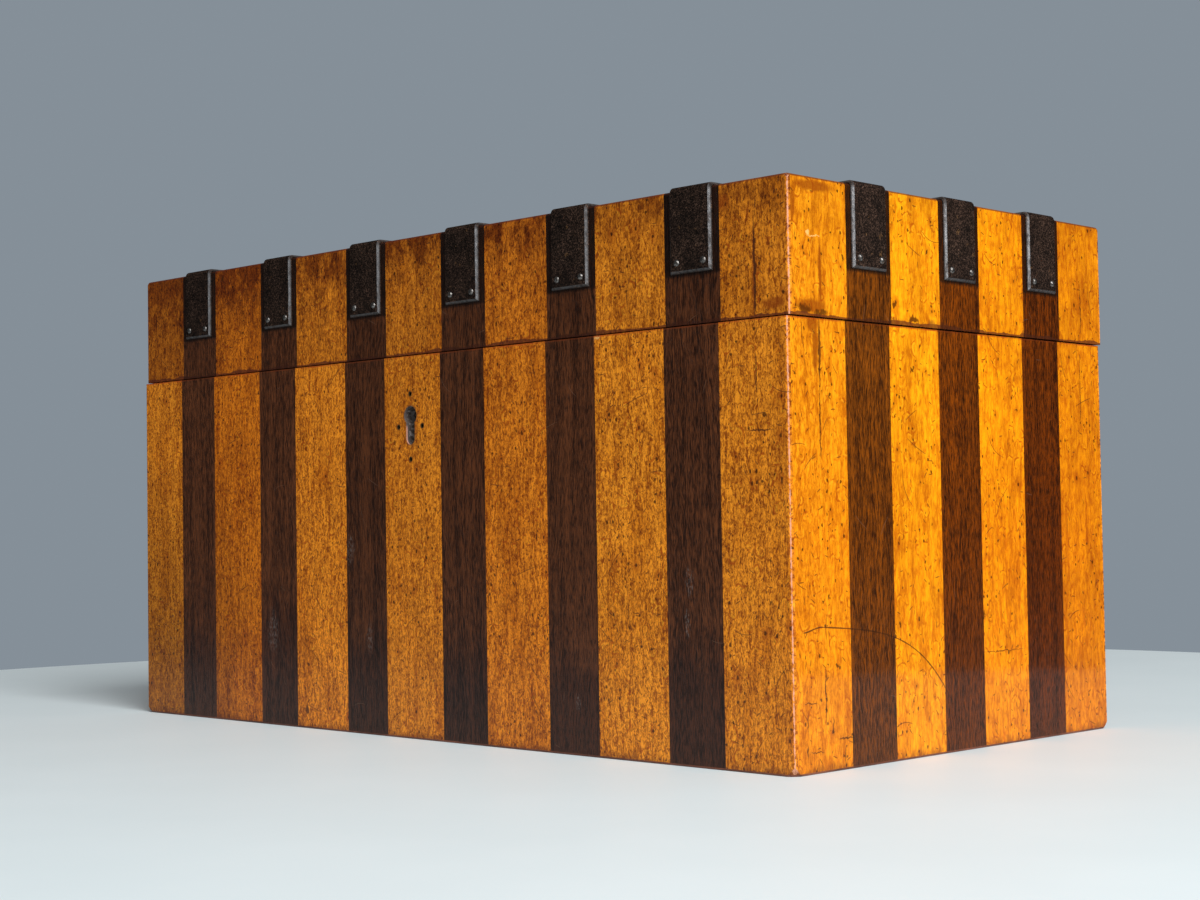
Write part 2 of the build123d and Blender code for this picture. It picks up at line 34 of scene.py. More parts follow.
class Net:
    """The nodes of one material or effect, placed and joined by short calls. Lengths are millimetres."""

    def __init__(self, tree):
        self.tree = tree

    def node(self, kind, inputs, output=0, **settings):
        made = self.tree.nodes.new("ShaderNode" + kind)
        for name, value in settings.items():
            setattr(made, name, value)
        for name, value in inputs.items():
            self.feed(made.inputs[name], value)
        return made.outputs[output]

    def feed(self, socket, value):
        """Join another node's output to a socket, or set a plain value on it."""
        if isinstance(value, bpy.types.NodeSocket):
            self.tree.links.new(value, socket)
        else:
            socket.default_value = value

    def maths(self, operation, *values):
        return self.node("Math", dict(enumerate(values)), operation=operation)

    def vectors(self, operation, *values):
        output = "Value" if operation in ("LENGTH", "DISTANCE", "DOT_PRODUCT") else "Vector"
        return self.node("VectorMath", dict(enumerate(values)), output, operation=operation)

    def chained(self, operation, values):
        return reduce(lambda total, value: self.maths(operation, total, value), values)

    def times(self, *values):
        return self.chained("MULTIPLY", values)

    def plus(self, *values):
        return self.chained("ADD", values)

    def most(self, *values):
        return self.chained("MAXIMUM", values)

    def minus(self, value, less):
        return self.maths("SUBTRACT", value, less)

    def blend(self, *shares):
        """The sum of some patterns, each times its share."""
        return self.plus(*[self.times(pattern, share) for pattern, share in shares])

    def scaled(self, vector, amount):
        """A place or a colour, times a plain number."""
        return self.node("VectorMath", {0: vector, "Scale": amount}, operation="SCALE")

    def fade(self, value, start, end, low=0.0, high=1.0):
        """Low up to start and high from end on, with a soft step between them."""
        limits = {"Value": value, "From Min": start, "From Max": end, "To Min": low, "To Max": high}
        return self.node("MapRange", limits, interpolation_type="SMOOTHSTEP")

    def between(self, share, low, high):
        """Low where the share is 0 and high where it is 1."""
        return self.fade(share, 0.0, 1.0, low, high)

    def point(self, x, y, z=0.0):
        return self.node("CombineXYZ", {0: x, 1: y, 2: z})

    def parts(self, vector):
        made = self.tree.nodes.new("ShaderNodeSeparateXYZ")
        self.feed(made.inputs[0], vector)
        return made.outputs[0], made.outputs[1], made.outputs[2]

    def stretched(self, place, grain):
        """The place counted in grains of one size, or of three lengths."""
        if isinstance(grain, float):
            grain = (grain, grain, grain)
        return self.vectors("DIVIDE", place, grain)

    def noise(self, place, grain, detail=2.0, roughness=0.5, distortion=0.0, output=0):
        settings = {"Scale": 1.0, "Detail": detail, "Roughness": roughness, "Distortion": distortion}
        return self.node("TexNoise", {"Vector": self.stretched(place, grain), **settings}, output)

    def mixed(self, share, under, over, how="MIX"):
        return self.node("Mix", {0: share, 6: under, 7: over}, 2, data_type="RGBA", blend_type=how)

    def covered(self, colour, *layers):
        """The colour under some layers, each with where it lies, how much it hides and its own colour."""
        for where, strength, over in layers:
            share = where if strength == 1.0 else self.times(where, strength)
            colour = self.mixed(share, colour, over)
        return colour

    def placed(self, effect, inputs):
        """The outputs of an effect whose inputs are set."""
        made = self.tree.nodes.new("ShaderNodeGroup")
        made.node_tree = effect
        for name, value in inputs.items():
            self.feed(made.inputs[name], value)
        return made.outputs

    def complete(self, **results):
        """The effect itself, once its outputs are fed."""
        for name, value in results.items():
            self.feed(self.tree.nodes["Group Output"].inputs[name], value)
        return self.tree


def new_effect(name, inputs, *outputs):
    """An empty node group. Its outputs are plain numbers, apart from a Colour or a Place."""
    tree = bpy.data.node_groups.new(name, "ShaderNodeTree")
    for title, value in inputs.items():
        kind = "Vector" if isinstance(value, tuple) else "Float"
        socket = tree.interface.new_socket(title, in_out="INPUT", socket_type="NodeSocket" + kind)
        socket.default_value = value
    for title in outputs:
        kind = {"Colour": "Color", "Place": "Vector"}.get(title, "Float")
        tree.interface.new_socket(title, in_out="OUTPUT", socket_type="NodeSocket" + kind)
    tree.nodes.new("NodeGroupOutput")
    return Net(tree), tree.nodes.new("NodeGroupInput").outputs


def new_material(name, coat=0.0, coat_roughness=0.2):
    """A material with its principled shader, and the place on the object in millimetres."""
    material = bpy.data.materials.new(name)
    material.use_nodes = True
    net = Net(material.node_tree)
    shader = material.node_tree.nodes["Principled BSDF"]
    shader.inputs["Coat Weight"].default_value = coat
    shader.inputs["Coat Roughness"].default_value = coat_roughness
    place = net.scaled(net.node("TexCoord", {}, "Object"), 1000.0)
    return material, net, shader, place


def surface(net, shader, colour, roughness, height, depth):
    """The shader's colour, its roughness, and relief whose full height is depth in millimetres."""
    net.feed(shader.inputs["Base Color"], colour)
    net.feed(shader.inputs["Roughness"], roughness)
    normal = net.node("Bump", {"Height": height, "Distance": depth / 1000.0, "Strength": 1.0})
    net.feed(shader.inputs["Normal"], normal)


def finish(material, *names):
    """The material on these nodes of the model."""
    for name in names:
        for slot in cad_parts[name].material_slots:
            slot.material = material


any_place = (0.0, 0.0, 0.0)


def make_plain_grain():
    """The straight grain of a plain board, running along x."""
    net, given = new_effect("plain grain", {"Place": any_place}, "Shade", "Pores")
    place = given["Place"]
    rings = net.noise(place, (90.0, 4.5, 4.5), 3.0, 0.55, 0.3)
    lines = net.noise(place, (45.0, 0.9, 0.9), 3.0, 0.6)
    fibre = net.noise(place, (14.0, 0.35, 0.35), 2.0, 0.6)
    pores = net.noise(place, (4.5, 0.24, 0.24), 1.0)
    return net.complete(
        Shade=net.blend((rings, 0.35), (lines, 0.40), (fibre, 0.25)),
        Pores=net.fade(pores, 0.63, 0.72),
    )


plain_grain = make_plain_grain()


def plain_wood(net, grain, pores_seen, dark, pale, pores):
    """The colour of plain wood, from its grain and the dirt in its pores."""
    wood = net.mixed(net.fade(grain["Shade"], 0.3, 0.7), dark, pale)
    return net.covered(wood, (grain["Pores"], pores_seen, pores))


# The keyhole: the key's centre, the round part's radius, the slot's half width and how far below the
# centre its round foot is centred, and how far round it the wood is greasy
key_x = -0.9
key_z = 101.5
key_radius = 3.0
key_slot_half_width = 2.0
key_slot_drop = 7.2
grease_reach = 9.5
grease_end = 13.0
front_board_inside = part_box("front_board")[1].y * 1000

grease_dull = (0.07, 0.058, 0.055, 1)
grease_polished = (0.30, 0.27, 0.26, 1)


def bare_wood(name, along_the_box):
    """Planed wood with its grain along the box or from front to back, greasy in the keyhole."""
    material, net, shader, place = new_material(name)
    x, y, z = net.parts(place)
    along = net.point(x, y, z) if along_the_box else net.point(y, x, z)
    grain = net.placed(plain_grain, {"Place": along})
    wood = plain_wood(
        net, grain, pores_seen=0.6,
        dark=(0.20, 0.090, 0.040, 1), pale=(0.37, 0.19, 0.095, 1), pores=(0.085, 0.035, 0.016, 1),
    )
    soil = net.noise(place, 28.0, 3.0, 0.6)
    wood = net.scaled(wood, net.fade(soil, 0.3, 0.7, 0.78, 1.08))
    from_key = net.vectors("DISTANCE", net.point(x, 0.0, z), (key_x, 0.0, key_z))
    near_key = net.fade(from_key, grease_end, grease_reach)
    in_front_board = net.fade(y, front_board_inside + 1.8, front_board_inside - 1.2)
    rubbed = net.fade(net.noise(place, (1.5, 1.5, 1.2), 2.0), 0.45, 0.62)
    grease = net.mixed(rubbed, grease_dull, grease_polished)
    wood = net.covered(wood, (net.times(near_key, in_front_board), 0.9, grease))
    roughness = net.fade(grain["Shade"], 0.3, 0.7, 0.62, 0.5)
    surface(net, shader, wood, roughness, net.minus(grain["Shade"], grain["Pores"]), depth=0.05)
    return material


boards = ["front_board", "back_board", "bottom_board", "lid_front_rail", "lid_back_rail", "lid_top_board"]
finish(bare_wood("carcase_wood_lengthwise", True), *boards)
boards = ["left_end_board", "right_end_board", "lid_left_rail", "lid_right_rail"]
finish(bare_wood("carcase_wood_crosswise", False), *boards)


# ---- Base facing ----------------------------------------------------------------------------------
# A thin mahogany facing glued under the whole case. Its edge shows as a reddish line under the strips,
# rubbed and dark from years of sliding about.

def base_mahogany():
    """Mahogany with its grain along the box, rubbed in patches."""
    material, net, shader, place = new_material("base_mahogany")
    grain = net.placed(plain_grain, {"Place": place})
    wood = plain_wood(
        net, grain, pores_seen=0.5,
        dark=(0.085, 0.020, 0.008, 1), pale=(0.22, 0.060, 0.022, 1), pores=(0.03, 0.010, 0.006, 1),
    )
    rubbed = net.noise(place, 18.0, 3.0, 0.65)
    wood = net.scaled(wood, net.fade(rubbed, 0.3, 0.7, 0.55, 1.15))
    roughness = net.fade(rubbed, 0.3, 0.7, 0.6, 0.45)
    surface(net, shader, wood, roughness, net.minus(grain["Shade"], grain["Pores"]), depth=0.06)
    return material


finish(base_mahogany(), "base_facing")


# ---- Birch strips ---------------------------------------------------------------------------------
# Strips of curly, bird's-eye birch under an old amber polish, glued to all sides before the lid was
# sawn off, so the figure runs on across the seam. Cracked over the carcase joints, bruised and spotted.

seam_middle = (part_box("front_birch_strips")[1].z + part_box("lid_front_birch_strips")[0].z) / 2 * 1000
lid_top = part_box("lid_top_birch_strips")[1].z * 1000
strap_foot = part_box("front_strap_1")[0].z * 1000
half_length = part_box("front_birch_strips")[1].x * 1000
half_width = -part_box("front_birch_strips")[0].y * 1000


def strip_pitch(first, second, axis):
    """How far apart two neighbouring straps are, which is also the pitch of the strips under them."""
    return abs(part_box(second)[0][axis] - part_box(first)[0][axis]) * 1000


front_pitch = strip_pitch("front_strap_1", "front_strap_2", 0)
end_pitch = strip_pitch("right_strap_1", "right_strap_2", 1)

# A flat pattern has cells and marks this deep, so that the depth of a place doesn't count
very_deep = 1000.0
full_turn = 6.28


def make_own_strip():
    """Each strip is a piece of wood of its own, so its figure is taken from somewhere else."""
    net, given = new_effect(
        "own strip",
        {"Across": 0.0, "Along": 0.0, "Deep": 0.0, "Pitch": 1.0, "Shift": 0.0, "Side": 0.0},
        "Place", "Tone", "Number",
    )
    strip = net.maths("DIVIDE", given["Across"], given["Pitch"])
    strip = net.maths("FLOOR", net.plus(strip, given["Shift"]))
    seed = net.plus(net.times(given["Side"], 37.0), strip)
    drawn = net.node("TexWhiteNoise", {"W": seed}, "Color", noise_dimensions="1D")
    here = net.point(given["Across"], given["Along"], given["Deep"])
    return net.complete(
        Place=net.vectors("ADD", here, net.scaled(drawn, 400.0)),
        Tone=net.parts(drawn)[0],
        Number=strip,
    )


def swayed(net, place, grain, reach, detail=2.0, waves_at=None):
    """The place pushed by up to the reach, in waves as large as the grain, which may lie elsewhere."""
    waves = net.noise(place if waves_at is None else waves_at, grain, detail, output="Color")
    return net.vectors("ADD", place, net.vectors("MULTIPLY", waves, reach))


def cells(net, place, size):
    """Scattered cells on a flat place: how far to the middle, three drawn numbers, and the middle."""
    made = net.tree.nodes.new("ShaderNodeTexVoronoi")
    made.voronoi_dimensions = "2D"
    made.inputs["Scale"].default_value = 1.0
    net.feed(made.inputs["Vector"], net.stretched(place, size))
    return made.outputs["Distance"], net.parts(made.outputs["Color"]), made.outputs["Position"]


def turned_cells(net, place, spacing):
    """Cells each turned its own way: how far ahead and aside of the middle, and three drawn numbers."""
    size = net.point(spacing, spacing, very_deep)
    _, drawn, middle = cells(net, place, size)
    away = net.scaled(net.vectors("SUBTRACT", net.stretched(place, size), middle), spacing)
    turn = {"Vector": away, "Angle": net.times(drawn[0], full_turn)}
    ahead, aside, _ = net.parts(net.node("VectorRotate", turn, rotation_type="Z_AXIS"))
    return ahead, aside, drawn


def outward(net):
    """How squarely the surface faces along each axis, either way."""
    return net.parts(net.vectors("ABSOLUTE", net.node("TexCoord", {}, "Normal")))


def make_speckles():
    """Spots of uneven size and shape, one at most in each cell, and the wood close round them."""
    net, given = new_effect(
        "speckles",
        {"Place": any_place, "Cell": (1.0, 1.0, very_deep), "Share": 0.5, "Radius": 0.1},
        "Spots", "Around",
    )
    place = swayed(net, given["Place"], (0.6, 0.9, 1.0), (0.7, 0.9, 0.0))
    distance, drawn, _ = cells(net, place, given["Cell"])
    there = net.maths("LESS_THAN", drawn[0], given["Share"])
    radius = net.times(given["Radius"], net.between(drawn[1], 0.35, 1.0))
    reach = net.maths("DIVIDE", distance, radius)
    return net.complete(
        Spots=net.times(there, net.fade(reach, 1.0, 0.55)),
        Around=net.times(there, net.fade(reach, 4.5, 1.0)),
    )


def make_nicks():
    """Short scratches at all angles, one at most in each cell."""
    net, given = new_effect(
        "nicks", {"Place": any_place, "Spacing": 10.0, "Length": 3.0, "Width": 0.2, "Share": 0.5}, "Nicks"
    )
    ahead, aside, drawn = turned_cells(net, given["Place"], given["Spacing"])
    length = net.times(given["Length"], net.between(drawn[1], 0.3, 1.0))
    run = net.maths("DIVIDE", net.maths("ABSOLUTE", ahead), length)
    bow = net.times(ahead, ahead, net.between(drawn[0], -0.06, 0.06))
    off = net.maths("ABSOLUTE", net.plus(aside, bow))
    width = net.times(given["Width"], net.fade(run, 1.0, 0.2, 0.25, 0.5))
    line = net.fade(net.maths("DIVIDE", off, width), 1.0, 0.5)
    there = net.maths("LESS_THAN", drawn[2], given["Share"])
    return net.complete(Nicks=net.times(line, there, net.fade(run, 1.0, 0.8)))


def make_hooks():
    """Small curled lines, half a ring each, one at most in each cell, with a pale line inside."""
    net, given = new_effect(
        "hooks",
        {"Place": any_place, "Spacing": 5.0, "Radius": 1.0, "Width": 0.25, "Share": 0.5},
        "Dark", "Pale",
    )
    place = swayed(net, given["Place"], (2.4, 3.2, 1.0), (1.6, 2.6, 0.0))
    ahead, aside, drawn = turned_cells(net, place, given["Spacing"])
    far = net.maths("SQRT", net.plus(net.times(ahead, ahead), net.times(aside, aside)))
    radius = net.times(given["Radius"], net.between(drawn[1], 0.5, 1.0))
    off = net.maths("DIVIDE", net.minus(far, radius), given["Width"])
    there = net.maths("LESS_THAN", drawn[2], given["Share"])
    broken = net.fade(net.noise(given["Place"], (1.2, 1.5, 1.0), 2.0), 0.36, 0.52)
    there = net.times(there, broken, net.fade(ahead, -0.3, 0.3))
    dark = net.fade(net.maths("ABSOLUTE", off), 1.0, 0.2)
    pale = net.fade(net.maths("ABSOLUTE", net.plus(off, 1.7)), 1.0, 0.2)
    return net.complete(Dark=net.times(dark, there), Pale=net.times(pale, there))


def make_mark():
    """One mark: an upright oval about a point, very narrow for a crack."""
    net, given = new_effect(
        "mark", {"Place": any_place, "Middle": any_place, "Reach": (1.0, 1.0, very_deep)}, "Mark"
    )
    away = net.vectors("SUBTRACT", given["Place"], given["Middle"])
    reach = net.vectors("LENGTH", net.stretched(away, given["Reach"]))
    return net.complete(Mark=net.fade(reach, 1.0, 0.5))


def make_curved_scratch():
    """The long scratch on the right end, level at first and then falling ever faster."""
    net, given = new_effect("curved scratch", {"Place": any_place}, "Scratch")
    # It dips in from the start, runs on almost level, and bends down by a power of its run
    start = 3.5
    end = 73.0
    level = 39.2
    fall = 0.07
    stretch = 38.0
    bend = 4.8
    dip = 1.8
    dip_length = 9.0
    across, along, _ = net.parts(given["Place"])
    run = net.plus(across, half_width)
    share = net.maths("DIVIDE", run, stretch)
    drop = net.plus(net.maths("POWER", share, bend), net.times(run, fall))
    drop = net.plus(drop, net.fade(run, start, start + dip_length, dip, 0.0))
    slope = net.plus(net.times(net.maths("POWER", share, bend - 1.0), bend / stretch), fall)
    off = net.minus(net.plus(along, drop), level)
    steep = net.maths("SQRT", net.plus(net.times(slope, slope), 1.0))
    off = net.maths("ABSOLUTE", net.maths("DIVIDE", off, steep))
    waver = net.fade(net.noise(given["Place"], (3.0, 3.0, 1.0)), 0.3, 0.7, -0.05, 0.05)
    line = net.fade(net.plus(off, waver), 0.27, 0.08)
    ends = net.times(net.fade(run, start, start + 2.0), net.fade(run, end, end - 3.0))
    return net.complete(Scratch=net.times(line, ends))


def make_round_the_key():
    """The keyhole's dirty inner wall, and the rubbed wood close to its edge."""
    net, given = new_effect("round the key", {"Place": any_place}, "Edge", "Wall")
    x, _, z = net.parts(given["Place"])
    aside = net.minus(x, key_x)
    rise = net.minus(z, key_z)
    from_round = net.vectors("LENGTH", net.point(aside, rise))
    from_round = net.minus(from_round, key_radius)
    in_slot = net.node("Clamp", {"Value": rise, "Min": -key_slot_drop, "Max": 0.0})
    from_slot = net.vectors("LENGTH", net.point(aside, net.minus(rise, in_slot)))
    from_slot = net.minus(from_slot, key_slot_half_width)
    off = net.maths("MINIMUM", from_round, from_slot)
    wall = net.fade(outward(net)[1], 0.75, 0.45)
    return net.complete(
        Edge=net.fade(off, 0.7, 0.15),
        Wall=net.times(wall, net.fade(off, 0.4, 0.1)),
    )


lively_dark = (0.225, 0.042, 0.0006, 1)
lively_pale = (0.97, 0.335, 0.020, 1)
calm_dark = (0.60, 0.150, 0.0002, 1)
calm_pale = (0.87, 0.325, 0.003, 1)
cloud_tint = (0.72, 0.62, 0.3, 1)
hook_pale = (0.99, 0.45, 0.030, 1)
hook_dark = (0.36, 0.060, 0.001, 1)
tick_brown = (0.10, 0.018, 0.001, 1)
round_the_eye = (0.33, 0.062, 0.002, 1)
pit_brown = (0.040, 0.010, 0.001, 1)


def make_birch_figure():
    """Curly birch, from calm with fine straight fibres (0) to lively with short wavy ones (1)."""
    net, given = new_effect("birch figure", {"Place": any_place, "Lively": 1.0}, "Colour", "Height")
    at_rest = given["Place"]
    place = swayed(net, at_rest, (12.0, 22.0, 30.0), (7.0, 7.0, 0.0))
    fibre = net.noise(place, (0.36, 3.0, 2.0), 3.0, 0.65)
    streak = net.noise(place, (1.2, 24.0, 9.0), 3.0, 0.6)
    soft = net.noise(at_rest, (1.7, 3.4, 9.0), 3.0, 0.6, 0.6)
    worm = net.noise(at_rest, (0.8, 1.35, 2.0), 4.0, 0.7, 0.9)
    lively = net.blend((worm, 0.52), (fibre, 0.30), (streak, 0.18))
    calm = net.blend((fibre, 0.38), (streak, 0.22), (soft, 0.40))
    light = net.blend((lively, given["Lively"]), (calm, net.minus(1.0, given["Lively"])))
    light = net.fade(light, 0.39, 0.60)
    lively_colour = net.mixed(light, lively_dark, lively_pale)
    calm_colour = net.mixed(light, calm_dark, calm_pale)
    colour = net.mixed(given["Lively"], calm_colour, lively_colour)
    cloud = net.noise(at_rest, (2.6, 11.0, 30.0), 2.0, 0.55)
    blotch = net.noise(at_rest, (8.0, 34.0, 30.0), 2.0, 0.55)
    smoky = net.fade(net.blend((cloud, 0.5), (blotch, 0.5)), 0.44, 0.64, 0.0, 0.8)
    colour = net.mixed(smoky, colour, cloud_tint, "MULTIPLY")
    curly = net.fade(net.noise(at_rest, (8.0, 14.0, 30.0), 1.0), 0.38, 0.56)
    hook_size = {"Spacing": 5.0, "Radius": 2.1, "Width": 0.40, "Share": 0.75}
    hook = net.placed(hooks, {"Place": at_rest, **hook_size})
    ticks = net.fade(net.noise(at_rest, (0.34, 0.9, 2.0), 1.0), 0.63, 0.70)
    eye_size = {"Cell": (9.0, 13.0, very_deep), "Share": 0.45, "Radius": 0.06}
    eyes = net.placed(speckles, {"Place": at_rest, **eye_size})
    crowd = net.fade(net.noise(at_rest, (7.5, 10.0, 30.0), 1.0), 0.50, 0.64, 0.01, 0.62)
    pit_size = {"Cell": (2.1, 2.9, very_deep), "Share": crowd, "Radius": 0.23}
    dark = net.most(eyes["Spots"], net.placed(speckles, {"Place": at_rest, **pit_size})["Spots"])
    colour = net.covered(
        colour,
        (net.times(hook["Pale"], curly), 0.35, hook_pale),
        (net.times(hook["Dark"], curly), 0.75, hook_dark),
        (net.times(ticks, given["Lively"]), 0.8, tick_brown),
        (eyes["Around"], 0.45, round_the_eye),
        (dark, 0.85, pit_brown),
    )
    return net.complete(Colour=colour, Height=net.minus(net.times(light, 0.5), dark))


def make_years_of_use():
    """What handling does to any strip: the seam, the foot, the corners and the lid's top edges,
    with painted shade to the left and a painted highlight along the corners.
    """
    net, given = new_effect(
        "years of use",
        {"Place": any_place, "Smoke": 0.3, "Smoke to the left": 0.0},
        "Shade", "Smoke", "Soil", "Rubbed", "Rim",
    )
    place = given["Place"]
    x, _, z = net.parts(place)
    out_x, out_y, out_z = outward(net)
    ragged = net.noise(place, (2.5, 2.5, 4.0), 3.0, 0.6)
    patchy = net.noise(place, (11.0, 11.0, 17.0), 3.0, 0.6)
    above_seam = net.minus(z, seam_middle)
    on_the_lid = net.maths("GREATER_THAN", above_seam, 0.0)

    # Soil in the seam and in patches above it, along the foot and on the lid's top edges
    soiled_to = net.fade(patchy, 0.42, 0.62, 0.55, 1.25)
    seam = net.fade(net.minus(net.maths("ABSOLUTE", above_seam), soiled_to), 0.25, 0.0)
    seam = net.times(seam, on_the_lid)
    stain = net.fade(net.plus(above_seam, net.times(ragged, 5.0)), 5.2, 3.6)
    stain = net.times(stain, net.fade(patchy, 0.55, 0.66, 0.0, 0.75), on_the_lid)
    foot = net.fade(net.plus(z, net.times(ragged, 7.0)), 6.5, 3.2, 0.0, 0.7)
    upper = net.times(net.fade(out_z, 0.12, 0.55), net.fade(out_z, 0.985, 0.9))
    soil = net.most(seam, stain, foot, net.times(upper, 0.9))

    # The case's upper rim, rubbed by the lid
    rim = net.times(net.fade(above_seam, -0.75, -0.45), net.maths("LESS_THAN", above_seam, 0.0))
    rim = net.times(rim, net.fade(patchy, 0.35, 0.6, 0.2, 0.9))

    # The upright corners, notched and rubbed bare, with a painted highlight along them
    notched = net.noise(place, (1.0, 1.0, 1.3), 3.0, 0.7)
    corner = net.plus(net.maths("MINIMUM", out_x, out_y), net.times(notched, 0.6))
    worn_and_highlit = net.times(net.fade(corner, 0.80, 0.95), net.fade(notched, 0.40, 0.50, 0.25, 1.0))
    worn_and_highlit = net.times(worn_and_highlit, net.fade(patchy, 0.32, 0.45, 0.4, 1.0))

    # The lid's smoky darkening, thicker towards its top, with painted shade added towards the left
    smoke = net.fade(x, half_length, -half_length, 0.0, given["Smoke to the left"])
    smoke = net.plus(smoke, given["Smoke"])
    higher = net.fade(z, seam_middle + 11.0, lid_top + 2.0, 0.36, 1.0)
    higher = net.plus(higher, net.fade(z, lid_top - 10.0, lid_top - 2.0, 0.0, 0.5))
    mottled = net.fade(net.noise(place, (3.6, 3.6, 5.5), 3.0, 0.6), 0.34, 0.62, 1.5, 0.6)
    mottled = net.times(mottled, net.fade(patchy, 0.2, 0.62, 1.3, 0.8))
    # Painted shade at the far left of the lid
    painted_shade_far_left = net.times(net.fade(x, -105.0, -140.0, 0.0, 0.9), given["Smoke to the left"])
    smoke = net.times(net.plus(net.times(higher, mottled, smoke), painted_shade_far_left), on_the_lid)
    smoke = net.maths("MINIMUM", smoke, 1.0)

    # Darker low down to the left, in step with the painted shade to the left
    to_the_left = net.times(net.fade(x, -70.0, -125.0), given["Smoke to the left"])
    low_left = net.times(to_the_left, net.fade(z, 105.0, 20.0), 0.94)
    shade = net.times(net.minus(1.0, low_left), net.fade(patchy, 0.35, 0.65, 0.93, 1.05))
    return net.complete(Shade=shade, Smoke=smoke, Soil=soil, Rubbed=worn_and_highlit, Rim=rim)


own_strip = make_own_strip()
speckles = make_speckles()
nicks = make_nicks()
hooks = make_hooks()
mark = make_mark()
curved_scratch = make_curved_scratch()
round_the_key = make_round_the_key()
birch_figure = make_birch_figure()
years_of_use = make_years_of_use()

# Each side's way across and along, the pitch of its strips, its own number, how smoky its lid is, how
# much painted shade it has to the left, and how lively its birch is
Side = namedtuple("Side", "across along pitch number smoke smoke_to_the_left lively")
sides = {
    "front": Side("x", "z", front_pitch, 1.0, 0.45, 0.5, 1.0),
    "back": Side("x", "z", front_pitch, 2.0, 0.45, 0.5, 1.0),
    "left": Side("y", "z", end_pitch, 3.0, 0.13, 0.0, 0.2),
    "right": Side("y", "z", end_pitch, 4.0, 0.10, 0.0, 0.2),
    "top": Side("x", "y", front_pitch, 5.0, 0.0, 0.0, 0.6),
}

# The tone of each strip of the front and the right end, from left to right
birch_tones = {
    "front": [
        (1.10, 1.06, 0.8), (0.92, 0.75, 0.3), (1.10, 1.04, 0.8), (0.99, 0.95, 0.8), (0.97, 0.85, 0.6),
        (1.09, 1.08, 0.9), (1.04, 1.01, 0.8),
    ],
    "right": [(1.07, 1.08, 0.7), (1.13, 1.21, 0.5), (1.11, 1.09, 0.2), (0.94, 0.86, 0.1)],
}

# Marks of each side, as middle across, middle along, half width and half height. Cracks stand over the
# joints of the carcase, soft lines are where one has begun, stains are dark and chips are pale.
cracks = {
    "front": [(141.3, 133.5, 0.56, 18.0), (141.6, 106.0, 0.30, 7.0), (142.7, 90.7, 6.0, 0.24)],
    "back": [(-141.0, 70.0, 0.24, 22.0), (139.0, 140.0, 0.2, 9.0)],
    "left": [(-65.0, 60.0, 0.24, 30.0), (63.0, 128.0, 0.2, 24.0)],
    "right": [
        (-64.2, 111.0, 0.60, 12.5), (-64.4, 92.0, 0.36, 13.0), (-64.2, 20.0, 0.24, 10.0),
        (66.0, 131.0, 0.30, 10.5), (65.6, 106.0, 0.28, 14.0), (-71.8, 13.5, 0.30, 3.5),
        (-55.8, 8.4, 4.0, 0.34), (-70.4, 18.5, 3.4, 0.20), (-68.2, 5.6, 3.6, 0.24),
        (-61.0, 12.0, 0.28, 3.0), (-56.3, 3.6, 0.30, 2.6), (-72.0, 6.0, 0.26, 2.0), (20.0, 27.5, 14.0, 0.16),
    ],
    "top": [(-60.0, 66.0, 0.2, 8.0), (141.0, -30.0, 0.2, 26.0)],
}
soft_lines = {
    "front": [(141.2, 133.0, 0.9, 16.0), (128.0, 153.0, 5.0, 3.0), (148.0, 124.0, 5.0, 2.0)],
    "right": [
        (-64.0, 132.0, 0.9, 11.0), (-66.0, 112.0, 1.6, 9.0), (-67.0, 119.0, 3.0, 3.0),
        (-66.0, 155.5, 10.0, 2.0), (-75.5, 149.0, 1.6, 6.0), (-68.0, 123.5, 8.0, 2.4),
    ],
}
stains = {
    "front": [
        (-91.2, 134.6, 0.8, 0.6), (-103.6, 154.3, 1.4, 0.9), (-9.0, 93.1, 0.5, 0.9),
        (144.2, 94.6, 0.7, 1.1), (149.3, 79.9, 0.5, 1.5), (-56.0, 6.0, 1.8, 1.6),
    ],
    "right": [
        (-22.2, 122.4, 3.2, 1.3), (-31.0, 126.1, 0.9, 1.4), (-22.7, 108.6, 1.2, 0.9),
        (-28.6, 108.6, 0.7, 0.7), (-54.0, 136.7, 0.8, 1.3), (-70.8, 122.4, 3.8, 1.8),
        (-63.8, 121.6, 3.6, 1.3), (-50.6, 147.9, 1.6, 0.5), (-64.0, 106.3, 0.7, 0.6),
        (-56.7, 53.0, 0.8, 0.8), (-64.6, 44.7, 0.7, 0.7), (-62.0, 46.5, 0.6, 0.6),
        (-59.2, 27.8, 0.9, 0.7), (-63.0, 28.0, 0.6, 0.5),
    ],
}
chips = {
    "front": [(82.3, 119.8, 1.5, 0.8)],
    "right": [(-68.8, 142.9, 0.8, 0.8), (-66.5, 142.2, 3.5, 0.22), (76.7, 37.3, 0.6, 1.0)],
}

# The pin holes round the keyhole, left by a lost plate
pin_above = 6.8
pin_below = 13.8
pin_aside = 5.75
pin_aside_drop = 3.5
pin_holes = [
    (key_x, key_z + pin_above), (key_x, key_z - pin_below),
    (key_x - pin_aside, key_z - pin_aside_drop), (key_x + pin_aside, key_z - pin_aside_drop),
]


def strip_nodes(side, wood):
    """The case's and the lid's strips of one wood on one side."""
    names = [f"{side}_{wood}_strips", f"lid_{side}_{wood}_strips"]
    return [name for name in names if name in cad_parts]


def on_the_strip(net, place, side, between):
    """The effect that gives each strip its own figure, and the flat place across and along the side."""
    axes = dict(zip("xyz", net.parts(place)))
    across = axes.pop(sides[side].across)
    along = axes.pop(sides[side].along)
    deep = axes.popitem()[1]
    pitch = sides[side].pitch
    middle_is_between = pitch == front_pitch
    shift = 0.5 if between == middle_is_between else 0.0
    number = sides[side].number if between else sides[side].number + 0.5
    spot = {"Across": across, "Along": along, "Deep": deep}
    strip = net.placed(own_strip, {**spot, "Pitch": pitch, "Shift": shift, "Side": number})
    return strip, net.point(across, along)


